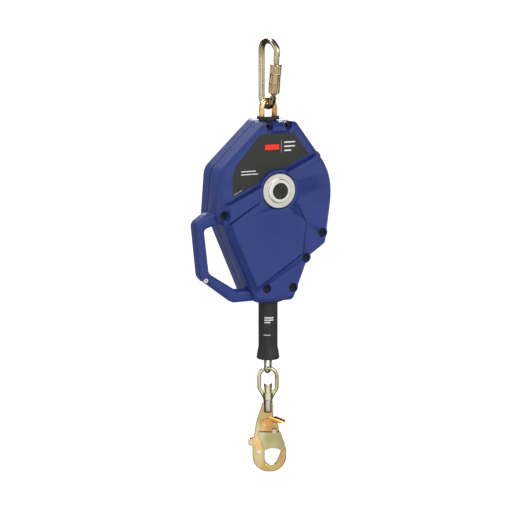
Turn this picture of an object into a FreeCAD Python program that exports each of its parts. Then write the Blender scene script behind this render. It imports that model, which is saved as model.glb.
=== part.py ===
"""Self retracting lifeline: a cable fall arrester that hangs from a carabiner.

Millimetres, +Z up. The front of the housing faces -Y and +X is its right side.
The origin is the hanging point, the inside of the carabiner's crown.
Everything else hangs straight below it, on the line X = 0, Y = 0.
"""
import FreeCAD, Part
import math
import os
import re
import Sketcher

V = FreeCAD.Vector
doc = FreeCAD.newDocument("self_retracting_lifeline")

# ---- driving dimensions -------------------------------------------------------------------

SIZES = [
    ("hub_drop", 228, "hub axis below the hanging point"),
    ("case_top", 107, "flat top of the case above the hub"),
    ("case_bottom", 180, "flat bottom of the case below the hub"),
    ("case_front", 34, "label face in front of the cable line"),
    ("case_back", 34, "rear face behind the cable line"),
    ("parting", 6, "parting line behind the cable line"),
    ("wall", 4, "moulded wall thickness"),
    ("edge_chamfer", 6.5, "bevel round the front face"),
    ("panel_face", 41, "raised panel in front of the cable line"),
    ("ridge_face", 43, "diagonal ridge in front of the cable line"),
    ("hub_boss", 33, "radius of the moulded boss round the hub"),
    ("recess", 7.3, "radius of a bolt recess"),
    ("recess_floor", 22, "floor of a bolt recess in front of the cable line"),
    ("bolt", 2.9, "radius of a housing bolt"),
    ("bolt_head", 7, "radius of a bolt head"),
    ("shaft", 10, "radius of the main shaft"),
    ("drum_core", 38.4, "radius of the drum under the cable"),
    ("drum_flange", 78, "radius of the drum's flanges"),
    ("drum_half", 12.6, "half of the drum's width between flanges"),
    ("flange_plate", 2, "thickness of a drum flange"),
    ("cable", 2.4, "radius of the steel cable"),
    ("turn_pitch", 4.9, "distance between cable turns, along and across the drum"),
    ("carabiner_bar", 5, "radius of the carabiner's bar"),
    ("carabiner_reach", 94, "inside height of the carabiner"),
    ("eye_bar", 4.5, "radius of the anchor eye's bar"),
    ("eye_bend", 13, "radius of the anchor eye's crown, to the middle of its bar"),
    ("stud", 7, "radius of the anchor stud"),
    ("bumper", 15.5, "radius of the bumper sleeve"),
    ("bumper_length", 95, "length of the bumper sleeve"),
    ("loop_bend", 8.5, "radius of the cable loop, to the middle of the cable"),
    ("bow_bar", 3.1, "radius of the hook swivel's bar"),
    ("bow_bend", 14.2, "radius of the hook swivel's crown, to the middle of its bar"),
    ("hook_plate", 9, "thickness of the hook's forged body"),
    ("gap", 0.3, "running clearance between moving pieces"),
]

sheet = doc.addObject("Spreadsheet::Sheet", "Sizes")
for row, (alias, number, note) in enumerate(SIZES, start=1):
    sheet.set(f"A{row}", note)
    sheet.set(f"B{row}", str(number))
    sheet.setAlias(f"B{row}", alias)
doc.recompute()
ALIASES = {alias for alias, _, _ in SIZES}


def bound(expression):
    """The expression with each driving dimension named in the sheet."""
    def name(match):
        word = match.group()
        return f"Sizes.{word}" if word in ALIASES else word
    return re.sub(r"[a-z_]\w*", name, str(expression))


def size(expression):
    """The value of an expression, in millimetres."""
    return float(sheet.evalExpression(bound(expression)))


def bind(thing, **sizes):
    for name, expression in sizes.items():
        thing.setExpression(name, bound(expression))


# ---- frames -------------------------------------------------------------------------------

TURN_UPRIGHT = FreeCAD.Rotation(V(1, 0, 0), 90)
HUB_Z = -size("hub_drop")
CARABINER_YAW = -76
EYE_YAW = 14
LOOP_YAW = 34
HOOK_YAW = -25


def upright(yaw=0, height=0):
    """A frame whose x is horizontal, y is up and z points forwards, turned about the line."""
    turn = FreeCAD.Rotation(V(0, 0, 1), yaw).multiply(TURN_UPRIGHT)
    return FreeCAD.Placement(V(0, 0, height), turn)


HUB = upright(0, HUB_Z)
LINE = FreeCAD.Placement()

# ---- small tools --------------------------------------------------------------------------

NODES = {}


def keep(node, thing, placement=None):
    """Names a finished sub-part and puts it in its place."""
    thing.Label = node
    if placement is not None:
        thing.Placement = placement
    NODES[node] = thing
    return thing


def rounded(points, closed=True):
    """Lines and tangent arcs through corners given as (x, y) or (x, y, radius)."""
    corners = [(V(*p[:2], 0), p[2] if len(p) > 2 else 0) for p in points]
    count = len(corners)
    ends = []
    for i, (at, radius) in enumerate(corners):
        if not radius or (not closed and i in (0, count - 1)):
            ends.append((at, None, at))
            continue
        back = (corners[i - 1][0] - at).normalize()
        on = (corners[(i + 1) % count][0] - at).normalize()
        half = back.getAngle(on) / 2
        middle = at + (back + on).normalize() * (radius / math.sin(half) - radius)
        reach = radius / math.tan(half)
        ends.append((at + back * reach, middle, at + on * reach))
    edges = []
    for i, (start, middle, end) in enumerate(ends):
        if middle is not None:
            edges.append(Part.Arc(start, middle, end))
        follow = ends[(i + 1) % count][0]
        if (closed or i < count - 1) and (follow - end).Length > 1e-6:
            edges.append(Part.LineSegment(end, follow))
    return edges


def inset(points, depth):
    """The corners of an outline listed clockwise, moved inwards, with their radii to suit."""
    count = len(points)
    moved = []
    for i in range(count):
        a, b, c = (V(*points[j % count][:2], 0) for j in (i - 1, i, i + 1))
        before, after = (b - a).normalize(), (c - b).normalize()
        inner_before, inner_after = V(before.y, -before.x, 0), V(after.y, -after.x, 0)
        bisector = (inner_before + inner_after).normalize()
        at = b + bisector * (depth / bisector.dot(inner_after))
        turns_in = before.cross(after).z < 0
        radius = points[i][2] + (-depth if turns_in else depth)
        moved.append((at.x, at.y, max(radius, 1)))
    return moved


def body(name):
    return doc.addObject("PartDesign::Body", name)


def sketch(owner, plane="XY_Plane", offset=0):
    made = owner.newObject("Sketcher::SketchObject", "Sketch")
    origin = [f for f in owner.Origin.OriginFeatures if f.Role == plane][0]
    made.AttachmentSupport = [(origin, "")]
    made.MapMode = "FlatFace"
    if offset != 0:
        bind(made, **{".AttachmentOffset.Base.z": offset})
    return made


def outline(owner, points, offset=0, plane="XY_Plane"):
    made = sketch(owner, plane, offset)
    made.addGeometry(rounded(points), False)
    return made


def circle(made, radius, x=0, y=0):
    """Adds a circle whose radius follows the sheet."""
    number = made.addGeometry(Part.Circle(V(x, y, 0), V(0, 0, 1), size(radius)), False)
    rule = made.addConstraint(Sketcher.Constraint("Radius", number, size(radius)))
    made.setExpression(f"Constraints[{rule}]", bound(radius))
    return made


def pad(owner, profile, length, downwards=False):
    made = owner.newObject("PartDesign::Pad", "Pad")
    made.Profile = profile
    bind(made, Length=length)
    made.Reversed = downwards
    doc.recompute()
    return made


def pocket(owner, profile, depth, upwards=False):
    """Cuts the profile into the solid, and makes sure that it did cut."""
    before = owner.Shape.Volume
    made = owner.newObject("PartDesign::Pocket", "Pocket")
    made.Profile = profile
    bind(made, Length=depth)
    made.Reversed = upwards
    doc.recompute()
    if owner.Shape.Volume > before - 1e-3:
        raise ValueError(f"a pocket in {owner.Name} cuts nothing")
    return made


def loft(owner, low, high):
    made = owner.newObject("PartDesign::AdditiveLoft", "Loft")
    made.Profile = low
    made.Sections = [high]
    made.Ruled = True
    doc.recompute()
    return made


def dress(owner, kind, wanted, amount):
    """A fillet or chamfer on the edges that a test picks out of the body's shape."""
    base = owner.Tip
    names = [f"Edge{i}" for i, e in enumerate(base.Shape.Edges, start=1) if wanted(e)]
    made = owner.newObject(f"PartDesign::{kind}", kind)
    made.Base = (base, names)
    bind(made, **{"Radius" if kind == "Fillet" else "Size": amount})
    doc.recompute()
    return made


def at_height(z):
    """Picks edges that lie flat at one height of a body's own frame."""
    return lambda edge: abs(edge.BoundBox.ZMin - z) < 1e-4 and edge.BoundBox.ZLength < 1e-4


def round_bar(name, path, radius):
    """A bar of round section along a path drawn on the body's XY plane."""
    owner = body(name)
    spine = sketch(owner)
    edges = rounded(path, closed=False)
    spine.addGeometry(edges, False)
    doc.recompute()
    section = owner.newObject("Sketcher::SketchObject", "Section")
    section.AttachmentSupport = [(spine, "Edge1")]
    section.MapMode = "NormalToEdge"
    section.MapPathParameter = 0.0
    circle(section, radius)
    doc.recompute()
    bar = owner.newObject("PartDesign::AdditivePipe", "Bar")
    bar.Profile = section
    bar.Spine = (spine, [f"Edge{i + 1}" for i in range(len(edges))])
    doc.recompute()
    expected = math.pi * size(radius) ** 2 * sum(e.length() for e in edges)
    if abs(owner.Shape.Volume - expected) > 0.01 * expected:
        raise ValueError(f"{name} has {owner.Shape.Volume:.0f} mm3, not {expected:.0f}")
    return owner


def turned(node, profile, placement=HUB):
    """A turned piece. Its profile is pairs of radius and height, as expressions."""
    owner = body(node)
    made = sketch(owner, "XZ_Plane")
    values = [(size(r), size(z)) for r, z in profile]
    count = len(values)
    lines = [Part.LineSegment(V(*values[i], 0), V(*values[(i + 1) % count], 0)) for i in range(count)]
    made.addGeometry(lines, False)
    for i in range(count):
        made.addConstraint(Sketcher.Constraint("Coincident", i, 2, (i + 1) % count, 1))
    for i, (radius, height) in enumerate(profile):
        for axis, value, expression in zip("XY", values[i], (radius, height)):
            if abs(value) < 1e-9:
                on_axis = Sketcher.Constraint("PointOnObject", i, 1, -2 if axis == "X" else -1)
                made.addConstraint(on_axis)
                continue
            rule = made.addConstraint(Sketcher.Constraint(f"Distance{axis}", -1, 1, i, 1, value))
            made.setExpression(f"Constraints[{rule}]", bound(expression))
    doc.recompute()
    turn = owner.newObject("PartDesign::Revolution", "Revolution")
    turn.Profile = made
    turn.ReferenceAxis = (made, ["V_Axis"])
    turn.Angle = 360
    return keep(node, owner, placement)


def ring(node, outer, inner, low, high, placement=HUB):
    """A plain washer, bush or tube between two heights."""
    return turned(node, [(inner, low), (outer, low), (outer, high), (inner, high)], placement)


def rod(node, steps, placement=HUB):
    """A solid stepped pin: steps are (radius, top height), starting with (0, foot height)."""
    profile = [(0, steps[0][1])]
    low = steps[0][1]
    for radius, high in steps[1:]:
        profile += [(radius, low), (radius, high)]
        low = high
    return turned(node, profile + [(0, low)], placement)


def cylinder(name, radius, length, foot, direction=V(0, 0, 1)):
    made = doc.addObject("Part::Cylinder", name)
    bind(made, Radius=radius, Height=length)
    made.Placement = FreeCAD.Placement(foot, FreeCAD.Rotation(V(0, 0, 1), direction))
    return made


def box(name, low, high):
    made = doc.addObject("Part::Box", name)
    bind(made, Length=high[0] - low[0], Width=high[1] - low[1], Height=high[2] - low[2])
    made.Placement.Base = V(*low)
    return made


def join(name, pieces):
    made = doc.addObject("Part::MultiFuse", name)
    made.Shapes = pieces
    return made


def cut(name, base, tools):
    made = doc.addObject("Part::Cut", name)
    made.Base = base
    made.Tool = tools[0] if len(tools) == 1 else join(f"{name}_tools", tools)
    return made


def group(node, pieces, placement=None):
    """Several separate solids in one node."""
    made = doc.addObject("Part::Compound", node)
    made.Links = pieces
    return keep(node, made, placement)


def plate(name, points, low, thickness):
    """A flat plate of any outline, from one height of the body's frame upwards."""
    owner = body(name)
    pad(owner, outline(owner, points, low), thickness)
    return owner


# ---- housing ------------------------------------------------------------------------------
# The housing's frame stands on the hub: x to the right, y up, z forwards.

TOP, BOTTOM = size("case_top"), -size("case_bottom")
CASE = [
    (-20, TOP, 9), (35, TOP, 9), (97.5, 22, 90), (97.5, -20, 130), (88, -92, 9),
    (58, -112, 8), (31, BOTTOM, 9), (-36, BOTTOM, 9), (-90, -52, 12), (-104, -44, 9),
    (-98, 34, 28),
]
HANDLE = [
    (-92, -28), (-119, -33, 14), (-138, -46, 12), (-129, -134, 16), (-72, -178, 12), (-30, -178),
    (-30, -160), (-66, -158, 8), (-112.5, -127.5, 12), (-120.5, -57, 6), (-108, -53, 8), (-86, -50),
]
HANDLE_BACK, HANDLE_FRONT = 2, 25
HANDLE_SCREW = (-118, -138)
BOLTS = [
    (-91.5, -34.6), (80, -74), (50.5, -112), (-17.9, -157.6), (28, -159), (-12, 101), (20, 101),
]


TOP_BOLTS = 90
NUT_SLOT = (13.5, 32)
SLOT_HALF, TOP_HEAD = 6, (5.2, 13)


def boss_radius(y):
    """The two top bosses are slimmer, to clear the anchor."""
    return 9.5 if y < TOP_BOLTS else 8.5


def bolt_floor(y):
    """The height that a bolt's head stands on; the two top ones stand in slots of the top edge."""
    return size("recess_floor") if y < TOP_BOLTS else NUT_SLOT[0]


def handle(shell_name):
    """The carrying handle's rounded bar, which grows out of the front shell."""
    grip = body(shell_name)
    pad(grip, outline(grip, HANDLE, HANDLE_BACK), HANDLE_FRONT - HANDLE_BACK)
    dress(grip, "Fillet", at_height(HANDLE_FRONT), 6)
    dress(grip, "Fillet", at_height(HANDLE_BACK), 6)
    return grip


def groove(name, start, end, width, floor):
    """A straight cutter that stands on a line of the front face and reaches down to a floor."""
    along = (V(*end, 0) - V(*start, 0)).normalize()
    aside = V(-along.y, along.x, 0) * (width / 2)
    corners = [V(*start, 0) + aside, V(*end, 0) + aside, V(*end, 0) - aside, V(*start, 0) - aside]
    return plate(name, [(c.x, c.y) for c in corners], floor, 60)


GROOVES = [
    ((-84, -47.8), (-34, -17.6), 1.5, 35.5), ((31, 20.6), (74, 47.6), 1.4, 32.8),
    ((-38, -154.8), (42.4, -104.4), 1.5, 35.5), ((19, -28), (36.6, -32.8), 1.2, 38.5),
    ((36.6, -32.8), (48.2, -55.6), 1.2, 38.5),
]


def front_housing():
    shell = body("FrontShell")
    front = size("case_front")
    pad(shell, outline(shell, CASE, "-parting"), "case_front + parting")
    dress(shell, "Chamfer", at_height(front), "edge_chamfer")
    panel_low = [(-88, -50), (-37, -164), (46, -119), (53, -56), (42, -26), (20, -14), (10, 18)]
    panel_high = [(-82, -48), (-37, -153), (41, -103), (47, -55), (36, -32), (17, -22), (10, 13)]
    loft(shell, outline(shell, panel_low, "case_front - 1"), outline(shell, panel_high, "panel_face"))
    ridge_low = [(-95, -19), (71, 58), (77, 51), (-92, -55)]
    ridge_high = [(-84, -17), (66, 52), (70, 46.5), (-84, -45)]
    loft(shell, outline(shell, ridge_low, "case_front - 1"), outline(shell, ridge_high, "ridge_face"))
    pad(shell, circle(sketch(shell, offset="case_front - 1"), "hub_boss"), "panel_face - case_front + 1")
    pocket(shell, outline(shell, inset(CASE, size("wall")), "case_front - wall"),
           "case_front + parting - wall")
    grip = handle("FrontGrip")
    bosses = [cylinder(f"FrontBoss{i}", boss_radius(y), "case_front + parting - 1", V(x, y, -size("parting")))
              for i, (x, y) in enumerate(BOLTS)]
    hollows = []
    for i, (x, y) in enumerate(BOLTS):
        floor = V(x, y, bolt_floor(y))
        if y < TOP_BOLTS:
            hollows.append(cylinder(f"FrontRecess{i}", "recess", 60, floor))
        else:
            low, high = NUT_SLOT
            left, right, foot, corner = x - SLOT_HALF, x + SLOT_HALF, y - SLOT_HALF, SLOT_HALF - 0.1
            slot = [(left, foot, corner), (right, foot, corner), (right, TOP + 9), (left, TOP + 9)]
            hollows.append(plate(f"NutSlot{i}", slot, low, high - low))
        hollows.append(cylinder(f"FrontBoltHole{i}", "bolt + 0.3", 60, floor, V(0, 0, -1)))
    hollows += [groove(f"Groove{i}", *line) for i, line in enumerate(GROOVES)]
    hollows.append(cylinder("HubRecess", 29.5, 20, V(0, 0, size("panel_face") - 4)))
    hollows.append(cylinder("HubHole", "shaft + 4", 80, V(0, 0, 0)))
    hollows.append(cylinder("HandleScrewHole", 2.3, 60, V(*HANDLE_SCREW, -20)))
    hollows.append(cylinder("HandleScrewRecess", 5.2, 60, V(*HANDLE_SCREW, HANDLE_FRONT - 4)))
    hollows.append(cylinder("HandleNutRecess", 5.2, 60, V(*HANDLE_SCREW, HANDLE_BACK + 4), V(0, 0, -1)))
    hollows += openings_on_line("Front")
    around = plate("SeamOutside", inset(CASE, -2), "-parting - 1", 2.8)
    hollows.append(cut("Seam", around, [plate("SeamInside", inset(CASE, 1.6), "-parting - 1", 2.8)]))
    trim = box("FrontTrim", (-120, TOP, -60), (120, TOP + 40, 60))
    whole = join("FrontWhole", [shell, grip] + bosses)
    keep("front_housing", cut("FrontHousing", whole, hollows + [trim]), HUB)


def openings_on_line(side):
    """The round openings for the anchor bush and stud, and for the cable's nozzle."""
    return [
        cylinder(f"{side}TopHole", 14, 30, V(0, TOP - 3, 0), V(0, 1, 0)),
        cylinder(f"{side}StudWay", 8.9, 30, V(0, TOP - 30, 0), V(0, 1, 0)),
        cylinder(f"{side}BottomHole", 13.2, 30, V(0, BOTTOM + 10, 0), V(0, -1, 0)),
    ]


def rear_housing():
    shell = body("RearShell")
    back = -size("case_back")
    pad(shell, outline(shell, CASE, "-case_back"), "case_back - parting")
    dress(shell, "Fillet", at_height(back), 5)
    pocket(shell, outline(shell, inset(CASE, size("wall")), "-parting"), "case_back - parting - wall")
    depth = "case_back - parting - 1"
    bosses = [cylinder(f"RearBoss{i}", boss_radius(y), depth, V(x, y, 1 - size("case_back")))
              for i, (x, y) in enumerate(BOLTS)]
    hollows = [cylinder(f"InsertHole{i}", 4.5, 60, V(x, y, 4 - size("case_back")))
               for i, (x, y) in enumerate(BOLTS)]
    hollows.append(cylinder("RearShaftHole", "shaft - 2.9", 80, V(0, 0, -60)))
    hollows += openings_on_line("Rear")
    trim = box("RearTrim", (-120, TOP, -60), (120, TOP + 40, 60))
    whole = join("RearWhole", [shell] + bosses)
    keep("rear_housing", cut("RearHousing", whole, hollows + [trim]), HUB)


def label_plate():
    points = [(-29, 90, 2), (29, 90, 2), (55, 55, 2), (-76, -5.8, 2), (-77, 26, 2), (-70, 43, 2)]
    card = plate("LabelCard", points, "case_front + 0.05", 0.6)
    keep("label_plate", cut("LabelPlate", card, [cylinder("LabelHub", "hub_boss + 1", 20, V(0, 0, 30))]), HUB)


def housing_fasteners():
    bolts, inserts = [], []
    foot = -size("case_back") + 6
    for i, (x, y) in enumerate(BOLTS):
        floor = bolt_floor(y)
        shank = cylinder(f"BoltShank{i}", "bolt", floor - foot, V(x, y, foot))
        radius, height = ("bolt_head", 5) if y < TOP_BOLTS else TOP_HEAD
        head = cylinder(f"BoltHead{i}", radius, height, V(x, y, floor))
        socket = cylinder(f"BoltSocket{i}", 2.6, 20, V(x, y, floor + 2.4))
        bolts.append(cut(f"Bolt{i}", join(f"BoltBlank{i}", [shank, head]), [socket]))
        outside = cylinder(f"InsertOutside{i}", 4.45, 14, V(x, y, foot + 2))
        bore = cylinder(f"InsertBore{i}", "bolt + 0.05", 30, V(x, y, foot))
        inserts.append(cut(f"Insert{i}", outside, [bore]))
    group("housing_bolts", bolts, HUB)
    group("threaded_inserts", inserts, HUB)
    at = FreeCAD.Placement(HUB.multVec(V(*HANDLE_SCREW, 0)), HUB.Rotation)
    back, front = HANDLE_BACK + 4, HANDLE_FRONT - 4
    turned("handle_rivet", [(1.2, back - 2), (4.2, back - 2), (4.2, back - 0.1), (2.2, back - 0.1), (2.2, front + 0.1),
                            (4.4, front + 0.1), (4.4, front + 1.6), (3.6, front + 2.4), (1.2, front + 2.4)], at)


def outlet():
    """The black flange and nozzle under the case, with its metal bush."""
    line = FreeCAD.Placement(V(0, 0, HUB_Z + BOTTOM), FreeCAD.Rotation())
    turned("outlet_flange", [(8.1, 13), (13, 13), (13, 0), (25, 0), (25, -2.2), (23.5, -3.4), (8.1, -3.4)],
           line)
    turned("cable_bush", [(6.5, 16), (8, 16), (8, -3.4), (2.9, -3.4), (2.9, 9)], line)


# ---- inner frame, shaft and hub -----------------------------------------------------------

FRAME_FRONT = (24.7, 27.5)
FRAME_BACK = (-29.5, -26.5)
BLOCK = (80, 91)


def inner_frame():
    right = [(16, BLOCK[1]), (16, 60), (34, 20), (34, -34)]
    corners = [(x, y, 4) for x, y in right] + [(-x, y, 4) for x, y in reversed(right)]
    for node, (low, high) in (("front_frame_plate", FRAME_FRONT), ("rear_frame_plate", FRAME_BACK)):
        sheet_metal = plate(f"{node}_blank", corners, low, high - low)
        hole = cylinder(f"{node}_hole", "shaft + 0.05", 60, V(0, 0, low - 10))
        keep(node, cut(f"{node}_cut", sheet_metal, [hole]), HUB)
    block = box("AnchorBlank", (-15, BLOCK[0], FRAME_BACK[1]), (15, BLOCK[1], FRAME_FRONT[0]))
    bore = cylinder("AnchorBore", "stud + 0.1", 60, V(0, BLOCK[0] - 10, 0), V(0, 1, 0))
    nut_seat = cylinder("NutSeat", 12.6, 16, V(0, BLOCK[0] - 10, 0), V(0, 1, 0))
    keep("anchor_block", cut("AnchorBlock", block, [bore, nut_seat]), HUB)


def shaft_and_hub():
    rod("main_shaft", [(0, -36.5), (7, -29.95), ("shaft", 39), (8, 44)])
    turned("rear_shaft_nut", [(7.05, -37), (14, -37), (15, -36), (15, -34.1), (7.05, -34.1)])
    turned("hub_washer", [(19.2, 37.2), (28, 37.2), (28, 42), (27, 43), (19.2, 43)])
    turned("hub_ring", [(13.2, 37.2), (18.9, 37.2), (18.9, 45.4), (18, 46.2), (13.2, 46.2)])
    turned("hub_cap", [(8.1, 39.2), (12.9, 39.2), (12.9, 44.6), (0, 44.6), (0, 44.1), (8.1, 44.1)])
    turned("spring_arbor", [("shaft + 0.05", -25.5), (16, -25.5), (16, -15.2), ("shaft + 0.05", -15.2)])


# ---- drum, spring and brake ---------------------------------------------------------------

TURNS_ACROSS, LAYERS = 5, 6
OUTER_TURN = size("drum_core") + 2.6 + (LAYERS - 1) * size("turn_pitch")


def drum():
    core, half, flange, thick = "drum_core", "drum_half", "drum_flange", "flange_plate"
    turned("cable_drum", [
        ("shaft + 3", f"-{half} - {thick}"), (flange, f"-{half} - {thick}"), (flange, f"-{half}"),
        (core, f"-{half}"), (core, half), (flange, half), (flange, f"{half} + {thick}"),
        ("shaft + 3", f"{half} + {thick}")])
    for node, low, high in (("front_drum_bush", 2, 14.6), ("rear_drum_bush", -14.6, -2)):
        ring(node, "shaft + 2.95", "shaft + 0.06", low, high)
    turned("spring_cup", [(61, -25.6), (63, -25.6), (63, -14.7), (57, -14.7), (57, -15.1), (61, -15.1)])
    middle = TURNS_ACROSS // 2
    turns = []
    for layer in range(LAYERS):
        for across in range(TURNS_ACROSS):
            if layer == LAYERS - 1 and across >= middle:
                continue
            made = doc.addObject("Part::Torus", f"Turn{layer}_{across}")
            bind(made, Radius1=f"drum_core + 2.6 + {layer} * turn_pitch", Radius2="cable")
            made.Placement.Base = V(0, 0, (across - middle) * size("turn_pitch"))
            turns.append(made)
    group("wound_cable", turns, HUB)


def power_spring():
    """A flat strip wound in a spiral: its radius grows evenly with the angle."""
    inner, outer, turns, thick = 17.5, 59.5, 7, 0.9
    steps = 12 * turns
    sides = []
    for extra in (0, thick):
        points = []
        for i in range(steps + 1):
            angle = 2 * math.pi * turns * i / steps
            radius = inner + (outer - inner) * i / steps + extra
            points.append(V(radius * math.cos(angle), radius * math.sin(angle), -25.2))
        curve = Part.BSplineCurve()
        curve.interpolate(points)
        sides.append(curve)
    near, far = sides
    caps = [Part.LineSegment(near.StartPoint, far.StartPoint), Part.LineSegment(near.EndPoint, far.EndPoint)]
    wire = Part.Wire(Part.__sortEdges__([c.toShape() for c in (near, far, *caps)]))
    made = doc.addObject("Part::Feature", "PowerSpring")
    made.Shape = Part.Face(wire).extrude(V(0, 0, 9.6))
    keep("power_spring", made, HUB)


TEETH = 12
PAWL_PIN = 48
TOOTH_TIP, TOOTH_ROOT, RATCHET = 66.6, 72.6, 77
PAWL_LAYER = (15.1, 19.4)


def brake():
    """Ratchet ring with inside teeth, held by a friction lining until a fall drags it round."""
    low, high = PAWL_LAYER
    cup = body("RatchetCup")
    rim = sketch(cup, offset=low)
    circle(circle(rim, RATCHET), TOOTH_ROOT)
    pad(cup, rim, 22.4 - low)
    web = sketch(cup, offset=19.9)
    circle(circle(web, RATCHET), "shaft + 1")
    pad(cup, web, 2.5)
    pitch, half = 2 * math.pi / TEETH, math.radians(5)
    first = math.radians(77)
    teeth = [cup]
    for i in range(TEETH):
        at = first + i * pitch
        corners = [(TOOTH_ROOT + 1, at - half), (TOOTH_TIP, at - half), (TOOTH_TIP, at + half),
                   (TOOTH_ROOT + 1, at + 1.6 * half)]
        points = [(r * math.cos(a), r * math.sin(a)) for r, a in corners]
        teeth.append(plate(f"Tooth{i}", points, low, high - low + 1))
    keep("ratchet_ring", join("RatchetRing", teeth), HUB)
    ring("brake_lining", 68, 44, 22.5, 24.6)
    ring("pressure_washer", 26, "shaft + 0.1", 27.6, 29.6)


def pawls():
    low, high = PAWL_LAYER
    pins = []
    for node, turn in (("upper_pawl", 0), ("lower_pawl", 180)):
        arm = [(-9, PAWL_PIN - 6, 5), (4, PAWL_PIN - 7, 5), (34, 51.5, 2), (31.2, 57.4, 1), (20, 56.5, 4),
               (4, PAWL_PIN + 7, 5), (-9, PAWL_PIN + 6, 5)]
        blank = plate(f"{node}_blank", arm, low + 0.2, high - low - 0.4)
        hole = cylinder(f"{node}_hole", 3.05, 30, V(0, PAWL_PIN, 0))
        spin = FreeCAD.Placement(V(0, 0, 0), FreeCAD.Rotation(V(0, 0, 1), turn))
        keep(node, cut(f"{node}_cut", blank, [hole]), HUB.multiply(spin))
        pins.append(cylinder(f"PawlPin{turn}", 3, 4.6, spin.multVec(V(0, PAWL_PIN, 14.7))))
    group("pawl_pins", pins, HUB)


# ---- anchor swivel and carabiner ----------------------------------------------------------

EYE_CENTRE = -size("carabiner_reach + eye_bend - eye_bar") + 0.4
EYE_FOOT = HUB_Z + TOP + 2.4


def anchor_swivel():
    bend = size("eye_bend")
    seat = EYE_FOOT + 5.5
    legs = [(-bend, seat), (-bend, EYE_CENTRE + bend, bend - 0.01), (bend, EYE_CENTRE + bend, bend - 0.01),
            (bend, seat)]
    keep("anchor_eye", round_bar("EyeBow", legs, "eye_bar"), upright(EYE_YAW))
    rim = "eye_bend + eye_bar + 0.2"
    turned("swivel_stud", [(0, HUB_Z + 80.4), ("stud", HUB_Z + 80.4), ("stud", EYE_FOOT), (rim, EYE_FOOT),
                           (rim, seat - 1), (f"{rim} - 1", seat), (0, seat)], LINE)
    turned("anchor_bush", [("stud + 0.08", 97), (8.5, 97), (8.5, 104.3), (13.5, 104.3), (13.5, 109.1),
                           ("stud + 0.08", 109.1)], FreeCAD.Placement(V(0, 0, HUB_Z), FreeCAD.Rotation()))
    nut = doc.addObject("Part::Prism", "AnchorNutBlank")
    nut.Polygon = 6
    bind(nut, Circumradius=12, Height=5.4)
    nut.Placement.Base = V(0, 0, HUB_Z + BLOCK[0] + 0.3)
    bore = cylinder("AnchorNutBore", "stud + 0.02", 60, V(0, 0, HUB_Z + BLOCK[0] - 30))
    keep("anchor_stud_nut", cut("AnchorNut", nut, [bore]))


GATE_HINGE = (13, -86)
GATE_LEAN = math.radians(7.3)


def up_the_gate(distance, aside=0):
    """A point of the carabiner's plane, measured from the gate's hinge along the gate."""
    x = GATE_HINGE[0] + distance * math.sin(GATE_LEAN) + aside * math.cos(GATE_LEAN)
    return x, GATE_HINGE[1] + distance * math.cos(GATE_LEAN) - aside * math.sin(GATE_LEAN)


GATE_TOP = 67
GATE_FRAME = upright(CARABINER_YAW).multiply(
    FreeCAD.Placement(V(*GATE_HINGE, 0), FreeCAD.Rotation(V(0, 0, 1), -math.degrees(GATE_LEAN))))


def carabiner():
    bar, reach = size("carabiner_bar"), size("carabiner_reach")
    spine, low = -16, -reach - bar
    path = [up_the_gate(GATE_TOP + 0.6), (*up_the_gate(GATE_TOP + 13), 12), (10, bar, 15), (spine, bar, 15.5),
            (spine, low, 15), (7, low, 12), up_the_gate(3)]
    frame = round_bar("CarabinerBar", path, "carabiner_bar")
    x, y = up_the_gate(0)
    slot = box("HingeSlot", (x - 7, y - 7, -2.6), (x + 9, y + 20, 2.6))
    pin_hole = cylinder("HingePinHole", 1.9, 20, V(x, y, -10))
    keep("carabiner_frame", cut("CarabinerFrame", frame, [slot, pin_hole]), upright(CARABINER_YAW))
    rod("carabiner_gate_pin", [(0, -4.8), (1.85, 4.8)], GATE_PIN)
    shank = cylinder("GateShank", 4.6, GATE_TOP - 7, V(0, 7, 0), V(0, 1, 0))
    tongue = box("GateTongue", (-2.7, 0, -2.2), (2.7, 12, 2.2))
    knuckle = cylinder("GateKnuckle", 2.7, 4.4, V(0, 0, -2.2))
    hole = cylinder("GateHole", 1.95, 20, V(0, 0, -10))
    gate = cut("CarabinerGate", join("GateBlank", [shank, tongue, knuckle]), [hole])
    keep("carabiner_gate", gate, GATE_FRAME)
    ring("carabiner_sleeve", 9.3, 4.66, 9, 57, GATE_AXIS)


GATE_PIN = GATE_FRAME
GATE_AXIS = GATE_FRAME.multiply(FreeCAD.Placement(V(0, 0, 0), FreeCAD.Rotation(V(1, 0, 0), -90)))


# ---- cable and bumper ---------------------------------------------------------------------

CABLE_BEND_HEIGHT = -160
BUMPER_TOP = HUB_Z + BOTTOM - 3.8
FERRULE_TOP = BUMPER_TOP - 34
LOOP_LOW = -530


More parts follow.
